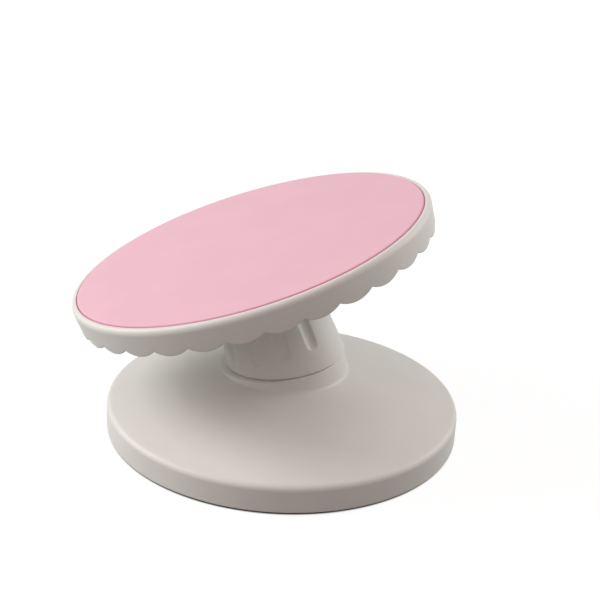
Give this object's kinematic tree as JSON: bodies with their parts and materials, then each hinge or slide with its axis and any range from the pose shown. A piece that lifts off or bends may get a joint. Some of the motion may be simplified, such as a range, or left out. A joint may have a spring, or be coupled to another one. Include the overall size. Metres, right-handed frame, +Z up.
{
  "type": "cake turntable",
  "caption": "Tilting cake turntable: a scalloped white platform with a pink non-slip mat on a fluted neck that twists on a slanted seam to set the tilt, over a domed base.",
  "frame": {"origin": "centre of the grip ring's foot, on the table", "axes": "+Z up; at rest the platform leans towards -X, and the pictured side faces -Y"},
  "size_m": [0.246, 0.23, 0.1594],
  "materials": {
    "white_plastic": "satin moulded, warm white",
    "pink_silicone": "matte",
    "dark_rubber": "matte",
    "acetal": "satin",
    "steel": "zinc plated",
    "spring_steel": "drawn wire",
    "bearing_steel": "ground and polished"
  },
  "bodies": {
    "base": {"base_shell": "white_plastic", "base_cover": "white_plastic", "cover_screws": "steel", "grip_ring": "dark_rubber", "slip_ring": "acetal", "swivel_bush": "acetal"},
    "neck": {"neck": "white_plastic", "neck_head": "white_plastic", "head_screws": "steel", "spindle": "steel", "lower_race": "bearing_steel", "hub_washer": "steel", "hub_screw": "steel", "swivel_spring": "spring_steel", "swivel_washer": "steel", "swivel_screw": "steel"},
    "bearing": {"bearing_cage": "acetal", "bearing_balls": "bearing_steel"},
    "platform": {"platform": "white_plastic", "hub_bush": "acetal", "upper_race": "bearing_steel", "top_mat": "pink_silicone"}
  },
  "joints": [
    {"name": "neck_twist", "type": "hinge", "parent": "base", "child": "neck", "pos_m": [0, 0, 0.0485], "axis": [-0.165, 0, 0.9863], "range_deg": [0, 180]},
    {"name": "platform_spin", "type": "hinge", "parent": "neck", "child": "platform", "pos_m": [0, 0, 0.0485], "axis": [-0.3256, 0, 0.9455], "continuous": true},
    {"name": "cage_spin", "type": "hinge", "parent": "neck", "child": "bearing", "pos_m": [0, 0, 0.0485], "axis": [-0.3256, 0, 0.9455], "continuous": true}
  ],
  "couplings": [
    {"joint": "cage_spin", "follows": "platform_spin", "ratio": 0.5}
  ]
}
